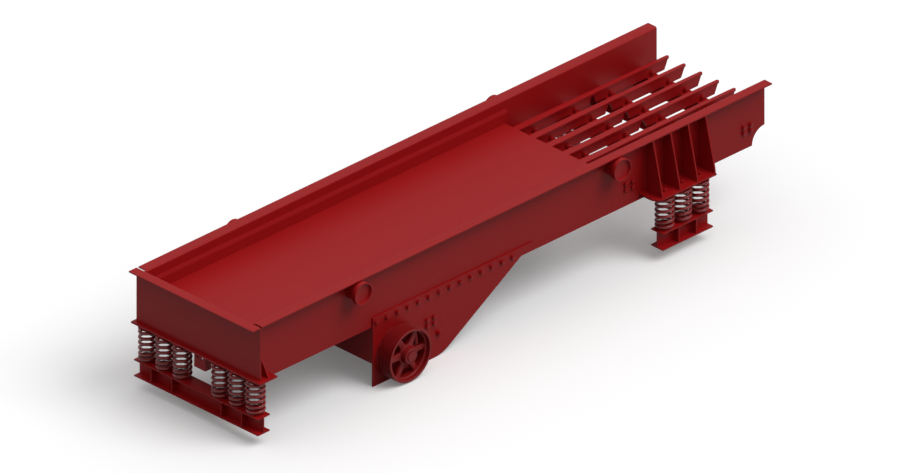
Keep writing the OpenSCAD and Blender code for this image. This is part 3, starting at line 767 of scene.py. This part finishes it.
@dataclass
class BoltSet:
    """Hex bolts with washers and nuts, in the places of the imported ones."""

    node: str = "hex_bolts"
    shank: float = 20.0
    flats: float = 30.0
    washer_r: float = 18.6
    washer_t: float = 3.0
    washer_bevel: float = 0.4
    washer_steps: int = 24
    head_h: float = 13.0
    nut_h: float = 16.0
    # The flat round face of a hexagon, as a share of the width across its flats.
    face_share: float = 0.95
    chamfer_deg: float = 30.0
    side_steps: int = 4
    # How far the end stands out of the nut, and how deep in the nut it begins.
    stub: float = 6.0
    stub_sunk: float = 2.0
    stub_steps: int = 16
    thread_pitch: float = 2.0
    thread_depth: float = 1.1
    crest_play: float = 0.1
    # Between a shank's radius and a head's, as a share of the shank's diameter.
    head_share: float = 0.6
    # Points this near a bolt's upper end lie on it.
    end_mm: float = 1.0
    merge_mm: float = 0.05

    def place_of(self, points: list[Vector]) -> BoltPlace:
        """Works out one bolt's place from its points.

        Args:
            points: every point of the bolt.

        Returns:
            Its place.
        """
        low = Vector(tuple(min(p[i] for p in points) for i in range(3)))
        high = Vector(tuple(max(p[i] for p in points) for i in range(3)))
        size, centre = high - low, (low + high) / 2
        long = max(range(3), key=lambda i: size[i])
        across = [i for i in range(3) if i != long]
        at_top = [p for p in points if high[long] - p[long] < self.end_mm * MM]
        reach = max(math.hypot(*(p[i] - centre[i] for i in across)) for p in at_top)
        way = 1.0 if reach > self.shank * self.head_share * MM else -1.0
        axis = Vector((0.0, 0.0, 0.0))
        axis[long] = way
        seat = centre.copy()
        seat[long] = (high if way > 0 else low)[long] - way * (self.head_h + self.washer_t) * MM
        extras = self.head_h + 2 * self.washer_t + self.nut_h + self.stub
        return BoltPlace(seat, axis, size[long] / MM - extras)

    def hexagon(self, height: float, both_ends: bool) -> Mesh:
        """Makes a hexagon with its corners turned down.

        Args:
            height: its height in millimetres.
            both_ends: whether the lower end is turned down too, as on a nut.

        Returns:
            The mesh, standing on z = 0.
        """
        count = 6 * self.side_steps
        side = FULL_TURN / 6
        face_r = self.flats / 2 * self.face_share
        angles = [FULL_TURN * i / count for i in range(count)]
        corners = [self.flats / 2 / math.cos((a % side) - side / 2) for a in angles]
        drops = [(r - face_r) * math.tan(math.radians(self.chamfer_deg)) for r in corners]
        flat, foot = [face_r] * count, [0.0] * count
        rings = (
            (flat, foot),
            (corners, drops if both_ends else foot),
            (corners, [height - d for d in drops]),
            (flat, [height] * count),
        )
        points = [
            Vector((r * math.cos(a), r * math.sin(a), h)) * MM
            for radii, heights in rings
            for r, a, h in zip(radii, angles, heights)
        ]
        return skin("hexagon", points, count)

    def washer(self) -> Mesh:
        """Makes one washer.

        Returns:
            The mesh, standing on z = 0.
        """
        hole, rim, top, bevel = self.shank / 2, self.washer_r, self.washer_t, self.washer_bevel
        outside = [(rim - bevel, 0.0), (rim, bevel), (rim, top - bevel), (rim - bevel, top)]
        profile = [(hole, 0.0), *outside, (hole, top)]
        return lathe("washer", profile, self.washer_steps, closed=True)

    def thread(self, top: float) -> Mesh:
        """Makes the threaded end that shows past the nut.

        Args:
            top: the height at which it starts, in millimetres.

        Returns:
            The mesh.
        """
        pitch, radius = self.thread_pitch, self.shank / 2
        root, length = radius - self.thread_depth, self.stub + self.stub_sunk
        profile = [(root, top)]
        for i in range(int(length / pitch) - 1):
            profile.append((radius - self.crest_play, top - pitch * (i + 0.5)))
            profile.append((root, top - pitch * (i + 1)))
        profile.append((root, top - length))
        return lathe("stub", profile, self.stub_steps)

    def build_mesh(self, grip: float) -> Mesh:
        """Makes one bolt with its seat at z = 0 and its head upward.

        Args:
            grip: the thickness it clamps, in millimetres.

        Returns:
            The mesh.
        """
        bottom = -grip - self.washer_t
        nut_end = bottom - self.nut_h
        washer = self.washer()
        parts = (
            (washer, 0.0),
            (self.hexagon(self.head_h, False), self.washer_t),
            (washer, bottom),
            (self.hexagon(self.nut_h, True), nut_end),
            (self.thread(nut_end + self.stub_sunk), 0.0),
        )
        return join("bolt", [(part, Matrix.Translation((0, 0, z * MM))) for part, z in parts])

    def build(self, packed: Mesh, finishes: Finishes) -> None:
        """Puts a detailed bolt in the place of each packed one.

        Args:
            packed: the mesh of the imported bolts.
            finishes: the shared finishes.
        """
        groups: dict[float, list[BoltPlace]] = {}
        for points in solids_of(packed, self.merge_mm):
            place = self.place_of(points)
            groups.setdefault(round(place.grip, 1), []).append(place)
        material = finishes.of(finishes.fastener)
        for number, (grip, places) in enumerate(sorted(groups.items()), 1):
            seats, axes = [p.seat for p in places], [p.axis for p in places]
            bolt = self.build_mesh(grip)
            piece = scatter(f"hex_bolts_{number}", bolt, seats, axes, material)
            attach(piece, Body.TROUGH.value)
            dress(piece, material, "bolt_paint", self.node)
            LOG.info("%d bolts with a grip of %.0f mm", len(places), grip)


# ---- pulley, stubs and welds


@dataclass
class DrivePulley:
    """The cast belt pulley: a grooved rim, arms that swell into rim and hub, and a bored hub."""

    node: str = "drive_pulley"
    grooves: int = 6
    pitch: float = 19.5
    land: float = 5.0
    depth: float = 13.0
    groove_wide: float = 7.8
    groove_narrow: float = 4.3
    rim_wall: float = 6.0
    rim_fillet: float = 12.0
    edge: float = 1.5
    arms: int = 6
    arm_w: float = 44.0
    arm_t: float = 38.0
    arm_recess: float = 40.0
    # How far each arm runs into the hub and into the rim.
    arm_in_hub: float = 6.0
    arm_in_rim: float = 2.0
    # How much an arm is wider at the hub, and how it swells at both ends.
    arm_taper: float = 4.0
    swell: float = 17.0
    swell_t: float = 3.0
    swell_reach: float = 22.0
    # 1 makes the arm's section an ellipse, and less makes it squarer.
    squareness: float = 0.42
    arm_steps: int = 14
    arm_sides: int = 28
    hub_r: float = 68.0
    hub_draft: float = 7.0
    hub_proud: float = 5.0
    hub_fillet: float = 8.0
    bore_r: float = 52.1
    arc_steps: int = 5
    turn_steps: int = 120

    def rim(self, radius: float, width: float) -> Mesh:
        """Makes the grooved rim.

        Args:
            radius: the pulley's radius in millimetres.
            width: its width in millimetres.

        Returns:
            The rim as a closed ring, with its back at z = 0.
        """
        inside = radius - self.depth - self.rim_wall
        arm_top = width - self.arm_recess
        arm_low = arm_top - self.arm_t
        fillet, steps = self.rim_fillet, self.arc_steps
        profile = [(inside + self.edge, 0.0), (radius - self.edge, 0.0), (radius, self.edge)]
        for i in range(self.grooves):
            centre = self.land + self.pitch * (i + 0.5)
            profile += [
                (radius, centre - self.groove_wide),
                (radius - self.depth, centre - self.groove_narrow),
                (radius - self.depth, centre + self.groove_narrow),
                (radius, centre + self.groove_wide),
            ]
        profile += [
            (radius, width - self.edge),
            (radius - self.edge, width),
            (inside + self.edge, width),
            (inside, width - self.edge),
            *reversed(arc((inside - fillet, arm_top + fillet), fillet, -90, 0, steps)),
            *reversed(arc((inside - fillet, arm_low - fillet), fillet, 0, 90, steps)),
            (inside, self.edge),
        ]
        return lathe("rim", profile, self.turn_steps, closed=True)

    def hub(self, width: float) -> Mesh:
        """Makes the hub with the disc that its arms grow from.

        Args:
            width: the pulley's width in millimetres.

        Returns:
            The hub as a closed ring, with its back at z = 0.
        """
        top, face = width - self.arm_recess, width + self.hub_proud
        fillet, round_r, steps = self.hub_fillet, 2 * self.edge, self.arc_steps
        corner = (self.hub_r - self.hub_draft - round_r, face - round_r)
        profile = [
            (self.bore_r, self.edge),
            (self.bore_r + self.edge, 0.0),
            (self.hub_r - 3 * self.edge, 0.0),
            (self.hub_r - self.edge, self.edge),
            *reversed(
                arc((self.hub_r + fillet, top - self.arm_t - fillet), fillet, 90, 180, steps)
            ),
            *arc((self.hub_r + fillet, top + fillet), fillet, -90, -180, steps),
            *arc(corner, round_r, 0, 90, steps),
            (self.bore_r, face),
        ]
        return lathe("hub", profile, self.turn_steps, closed=True)

    def arm(self, radius: float, width: float) -> Mesh:
        """Makes one arm, swollen at both ends, along X.

        Args:
            radius: the pulley's radius in millimetres.
            width: its width in millimetres.

        Returns:
            The arm as a closed mesh.
        """
        inner = self.hub_r - self.arm_in_hub
        outer = radius - self.depth - self.rim_wall + self.arm_in_rim
        centre = width - self.arm_recess - self.arm_t / 2
        angles = [FULL_TURN * k / self.arm_sides for k in range(self.arm_sides)]
        section = [
            [math.copysign(abs(c) ** self.squareness, c) for c in (math.cos(a), math.sin(a))]
            for a in angles
        ]
        points = []
        for i in range(self.arm_steps + 1):
            share = 0.5 - 0.5 * math.cos(math.pi * i / self.arm_steps)
            at = inner + (outer - inner) * share
            near = max(0.0, 1 - min(at - inner, outer - at) / self.swell_reach) ** 2
            half_w = self.arm_w / 2 + self.arm_taper * (1 - share) + self.swell * near
            half_t = self.arm_t / 2 + self.swell_t * near
            points += [Vector((at, half_w * y, centre + half_t * z)) * MM for y, z in section]
        return skin("arm", points, self.arm_sides)

    def build(self, finishes: Finishes) -> None:
        """Puts the pulley on its shaft.

        Args:
            finishes: the shared finishes.
        """
        radius, width = round_size(self.node)
        x, _, z = middle(self.node)
        foot = Matrix.Translation((x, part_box(self.node)[1].y, z))
        place = foot @ Matrix.Rotation(math.pi / 2, 4, "X")
        turns = [Matrix.Rotation(FULL_TURN * i / self.arms, 4, "Z") for i in range(self.arms)]
        arm = self.arm(radius, width)
        parts = [(self.rim(radius, width), place), (self.hub(width), place)]
        name = self.node + "_casting"
        piece = link(name, join(name, parts + [(arm, place @ turn) for turn in turns]))
        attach(piece, Body.DRIVE.value)
        dress(piece, finishes.of(finishes.casting), "pulley_paint", self.node)


@dataclass
class LiftingStubs:
    """Four pipe stubs for slings, each with a collar round a recessed cap."""

    nodes: tuple[str, ...] = (
        "trunnion_rear_left",
        "trunnion_rear_right",
        "trunnion_front_left",
        "trunnion_front_right",
    )
    pipe_r: float = 75.0
    collar_t: float = 36.0
    collar_rim: float = 10.0
    recess: float = 20.0
    round_r: float = 4.0
    edge: float = 3.0
    # Rounding in the inner corners: behind the collar and at the foot of the recess.
    corner_r: float = 3.0
    corner_steps: int = 3
    edge_steps: int = 5
    round_steps: int = 10
    turn_steps: int = 72

    def stub(self, radius: float, reach: float) -> Mesh:
        """Makes one stub along Z.

        Args:
            radius: the collar's radius in millimetres.
            reach: how far the stub stands out, in millimetres.

        Returns:
            The mesh, with its foot at z = 0.
        """
        cap_r, back, bottom = radius - self.collar_rim, reach - self.collar_t, reach - self.recess
        edge, lip, corner, steps = self.edge, self.round_r, self.corner_r, self.corner_steps
        profile = [
            (self.pipe_r, 0.0),
            *reversed(arc((self.pipe_r + corner, back - corner), corner, 90, 180, steps)),
            *arc((radius - edge, back + edge), edge, -90, 0, self.edge_steps),
            *arc((radius - lip, reach - lip), lip, 0, 90, self.round_steps),
            *arc((cap_r + edge, reach - edge), edge, 90, 180, self.edge_steps),
            *reversed(arc((cap_r - corner, bottom + corner), corner, -90, 0, steps)),
        ]
        return lathe("stub", profile, self.turn_steps)

    def build(self, finishes: Finishes) -> list[Vector]:
        """Puts a stub in the place of each packed one.

        Args:
            finishes: the shared finishes.

        Returns:
            The middle of each stub's foot.
        """
        feet, axes = [], []
        for node in self.nodes:
            low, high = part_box(node)
            side = Side.LEFT if low.y > 0 else Side.RIGHT
            x, _, z = middle(node)
            feet.append(Vector((x, low.y if side is Side.LEFT else high.y, z)))
            axes.append(Vector((0.0, side.value, 0.0)))
        material = finishes.of(finishes.plate)
        stub = self.stub(*round_size(self.nodes[-1]))
        piece = scatter("lifting_stubs", stub, feet, axes, material)
        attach(piece, Body.TROUGH.value)
        dress(piece, material, "red_paint", *self.nodes)
        return feet


@dataclass
class WeldBeads:
    """Fillet welds, as rippled beads in the corners that they fill."""

    bead: float = 4.5
    ripple: float = 7.0
    ripple_depth: float = 0.5
    step: float = 2.4
    sides: int = 8
    crease_deg: float = 60.0
    ring_steps: int = 72
    rib_t: float = 12.0
    rib_reach: float = 172.0
    rib_h: float = 412.0
    gusset_t: float = 10.0
    gusset_h: float = 138.0
    gusset_setback: float = 75.0
    stiffener_t: float = 8.0
    web_t: float = 8.0
    flange_t: float = 10.0
    base_h: float = 140.0

    def spring_xs(self, side: Side) -> list[float]:
        """Returns where one side's three front springs stand along the feeder."""
        return [middle(f"front_{side.label}_spring_{i}")[0] for i in (1, 2, 3)]

    def ring_line(self, foot: Vector, radius: float) -> list[Vector]:
        """Returns a closed line round a stub, from its foot's middle and its radius in mm."""
        angles = [FULL_TURN * i / self.ring_steps for i in range(self.ring_steps + 1)]
        return [foot + Vector((math.cos(a), 0.0, math.sin(a))) * radius * MM for a in angles]

    def trough_lines(self, side: Side) -> list[list[Vector]]:
        """Lists the weld lines of one side's four ribs and its rear gusset.

        Args:
            side: the side.

        Returns:
            The lines, each as its points.
        """
        xs = self.spring_xs(side)
        pitch = xs[1] - xs[0]
        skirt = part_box("skirt_" + side.label)
        # The side plate's outer face, and the upper faces of the spring seat plates.
        wall = skirt[0].y if side is Side.LEFT else skirt[1].y
        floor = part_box("rear_wall")[0].z
        tip = wall + side.value * self.rib_reach * MM
        lines = []
        for x in [xs[0] - pitch / 2] + [at + pitch / 2 for at in xs]:
            for face in (-1, 1):
                at = x + face * self.rib_t / 2 * MM
                lines.append(upright(at, wall, floor, floor + self.rib_h * MM))
                lines.append([Vector((at, wall, floor)), Vector((at, tip, floor))])
        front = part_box("rear_seat")[1].x - self.gusset_setback * MM
        for x in (front, front + self.gusset_t * MM):
            lines.append(upright(x, wall, floor, floor + self.gusset_h * MM))
        return lines

    def base_lines(self, side: Side) -> list[list[Vector]]:
        """Lists the weld lines of one front base's stiffeners.

        Args:
            side: the side.

        Returns:
            The lines, each as its points.
        """
        base = "front_base_" + side.label
        xs, centre, low_z = self.spring_xs(side), middle(base)[1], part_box(base)[0].z
        bottom, top = low_z + self.flange_t * MM, low_z + (self.base_h - self.flange_t) * MM
        half_plate, half_web = self.stiffener_t / 2 * MM, self.web_t / 2 * MM
        return [
            upright(x + face * half_plate, centre + way * half_web, bottom, top)
            for x in ((xs[0] + xs[1]) / 2, (xs[1] + xs[2]) / 2)
            for face in (-1, 1)
            for way in (-1, 1)
        ]

    def lay(self, name: str, body: Body, lines: list[list[Vector]], finishes: Finishes) -> None:
        """Lays beads along lines.

        Args:
            name: the piece's name.
            body: the body that it rides on.
            lines: the corners to fill, as runs of points.
            finishes: the shared finishes.
        """
        points, edges = [], []
        for line in lines:
            start = len(points)
            edges += [(start + i, start + i + 1) for i in range(len(line) - 1)]
            points += line
        material = finishes.of(finishes.plate)
        beads = bead_tree().run(
            name,
            plain_mesh(name + "_lines", points, edges, []),
            {
                "Bead Radius": self.bead * MM,
                "Ripple Spacing": self.ripple * MM,
                "Ripple Depth": self.ripple_depth * MM,
                "Step": self.step * MM,
                "Sides": self.sides,
                "Material": material,
            },
        )
        shade(beads.data, self.crease_deg)
        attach(beads, body.value)
        dress(beads, material, "red_paint")

    def build(self, finishes: Finishes, stubs: list[Vector], stub_r: float) -> None:
        """Lays every bead on the trough and on the front bases.

        Args:
            finishes: the shared finishes.
            stubs: the middle of each lifting stub's foot.
            stub_r: the stubs' radius in millimetres.
        """
        on_trough = [self.ring_line(foot, stub_r) for foot in stubs]
        on_bases = []
        for side in Side:
            on_trough += self.trough_lines(side)
            on_bases += self.base_lines(side)
        self.lay("trough_welds", Body.TROUGH, on_trough, finishes)
        self.lay("base_welds", Body.BASES, on_bases, finishes)


# ---- light, floor and camera


@dataclass(frozen=True)
class Lamp:
    """One broad, far light: its strength, the way it comes from, and its width in degrees."""

    name: str
    strength: float
    way: tuple[float, float, float]
    spread: float


@dataclass
class Studio:
    """A pale floor, a sky that is brightest overhead, one broad lamp and the camera."""

    azimuth: float = -44.7
    elevation: float = 28.9
    width_m: float = 6.48
    aim_right: float = 1.786
    aim_up: float = 1.2017
    away_m: float = 20.0
    sight_m: float = 100.0
    sky_low: float = 0.01
    sky_rise: float = 0.84
    sky_seen: float = 0.6
    lamp: Lamp = Lamp("softbox", 1.32, (0.28, -0.54, 0.80), 40.0)
    floor_bounce: float = 0.03
    floor_seen: float = 1.0
    floor_glow: float = 0.12
    floor_roughness: float = 0.9
    floor_m: float = 60.0

    def build(self, low_z: float) -> None:
        """Makes everything that isn't the object.

        Args:
            low_z: the height of the object's lowest point.
        """
        self.camera()
        self.world()
        self.light()
        self.floor(low_z)

    def camera(self) -> None:
        """Makes the camera: a parallel view with no shift and no depth of field."""
        a, e = math.radians(self.azimuth), math.radians(self.elevation)
        back = Vector((math.sin(a) * math.cos(e), -math.cos(a) * math.cos(e), math.sin(e)))
        right = Vector((math.cos(a), math.sin(a), 0.0))
        data = bpy.data.cameras.new("camera")
        data.type = "ORTHO"
        data.ortho_scale = self.width_m
        data.clip_end = self.sight_m
        eye = link("camera", data)
        aim = right * self.aim_right + back.cross(right) * self.aim_up
        eye.location = aim + back * self.away_m
        eye.rotation_euler = (-back).to_track_quat("-Z", "Y").to_euler()
        bpy.context.scene.camera = eye

    def world(self) -> None:
        """Makes the sky: brightest overhead, and an even pale grey where a gloss sees it."""
        world = bpy.data.worlds.new("studio_sky")
        world.use_nodes = True
        bpy.context.scene.world = world
        tree = world.node_tree
        background = tree.nodes["Background"]
        background.inputs["Color"].default_value = WHITE
        way = add_node(tree, "ShaderNodeTexCoord", {}).outputs["Generated"]
        height = add_node(tree, "ShaderNodeSeparateXYZ", {0: way}).outputs[2]
        above = add_node(tree, MATH, {"operation": "MAXIMUM", 0: height, 1: 0.0})
        rise = {0: above, 1: self.sky_rise, 2: self.sky_low}
        sky = add_node(tree, MATH, {"operation": "MULTIPLY_ADD", **rise}).outputs[0]
        tree.links.new(shown_or(tree, self.sky_seen, sky), background.inputs["Strength"])

    def light(self) -> None:
        """Makes the lamp."""
        data = bpy.data.lights.new(self.lamp.name, "SUN")
        data.energy = self.lamp.strength
        data.angle = math.radians(self.lamp.spread)
        turn = Vector(self.lamp.way).to_track_quat("Z", "Y").to_euler()
        link(self.lamp.name, data).rotation_euler = turn

    def floor(self, low_z: float) -> None:
        """Makes the floor, which looks white and sends little light back up.

        Args:
            low_z: its height.
        """
        half = self.floor_m / 2
        corners = [(x * half, y * half, low_z) for x, y in ((-1, -1), (1, -1), (1, 1), (-1, 1))]
        floor = link("floor", plain_mesh("floor", corners, [], [(0, 1, 2, 3)]))
        material, tree, shader, _ = new_surface("white_floor")
        shader.inputs["Roughness"].default_value = self.floor_roughness
        shader.inputs["Specular IOR Level"].default_value = 0.0
        shader.inputs["Emission Color"].default_value = WHITE
        white = shown_or(tree, self.floor_seen, self.floor_bounce)
        tree.links.new(white, shader.inputs["Base Color"])
        glow = shown_or(tree, self.floor_glow, 0.0)
        tree.links.new(glow, shader.inputs["Emission Strength"])
        paint(floor.data, material)
        floor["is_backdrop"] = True


def shown_or(tree: NodeTree, seen: float, otherwise: float | NodeSocket) -> NodeSocket:
    """Picks one number for rays from the camera or from a gloss, and another for the rest.

    Args:
        tree: the node tree to add to.
        seen: the number for camera, glossy and transmission rays.
        otherwise: the number, or the socket that gives it, for all other rays.

    Returns:
        The number's socket.
    """
    path = add_node(tree, "ShaderNodeLightPath", {}).outputs
    rays = {0: path["Is Glossy Ray"], 1: path["Is Transmission Ray"]}
    gloss = add_node(tree, MATH, {"operation": "MAXIMUM", **rays})
    shown = add_node(tree, MATH, {"operation": "MAXIMUM", 0: path["Is Camera Ray"], 1: gloss})
    unseen = add_node(tree, MATH, {"operation": "SUBTRACT", 0: 1.0, 1: shown})
    bright = add_node(tree, MATH, {"operation": "MULTIPLY", 0: shown, 1: seen})
    both = {0: unseen, 1: otherwise, 2: bright}
    return add_node(tree, MATH, {"operation": "MULTIPLY_ADD", **both}).outputs[0]


# ---- the whole feeder


def finish_cad_nodes(frame: dict, finishes: Finishes) -> None:
    """Gives every CAD node the material of its record slot.

    Args:
        frame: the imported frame.
        finishes: the shared finishes.
    """
    by_slot = {
        "red_paint": finishes.plate,
        "bolt_paint": finishes.fastener,
        "spring_paint": finishes.spring,
        "pulley_paint": finishes.casting,
        "turned_steel": finishes.shaft,
        "gear_steel": finishes.gear,
        "bearing_steel": finishes.bearing,
    }
    for part in frame["record"]["subparts"]:
        mesh = frame["nodes"][part["node"]].data
        paint(mesh, finishes.of(by_slot[part["material_slot"]]))


def main() -> None:
    """Builds the scene in order and reports each piece."""
    logging.basicConfig(level=logging.INFO, format="%(name)s: %(message)s")
    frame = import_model()
    cad_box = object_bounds()
    bpy.context.scene.view_settings.view_transform = "Standard"
    Studio().build(cad_box[0].z)
    finishes = Finishes()
    finish_cad_nodes(frame, finishes)
    on_bases = frame["record"]["behaviour"]["bodies"][Body.BASES.value]
    SpringSet([node for node in on_bases if "spring" in node]).build(finishes)
    bolts = BoltSet()
    bolts.build(frame["nodes"][bolts.node].data, finishes)
    DrivePulley().build(finishes)
    stubs = LiftingStubs()
    feet = stubs.build(finishes)
    WeldBeads().build(finishes, feet, stubs.pipe_r)


if __name__ == "__main__":
    main()
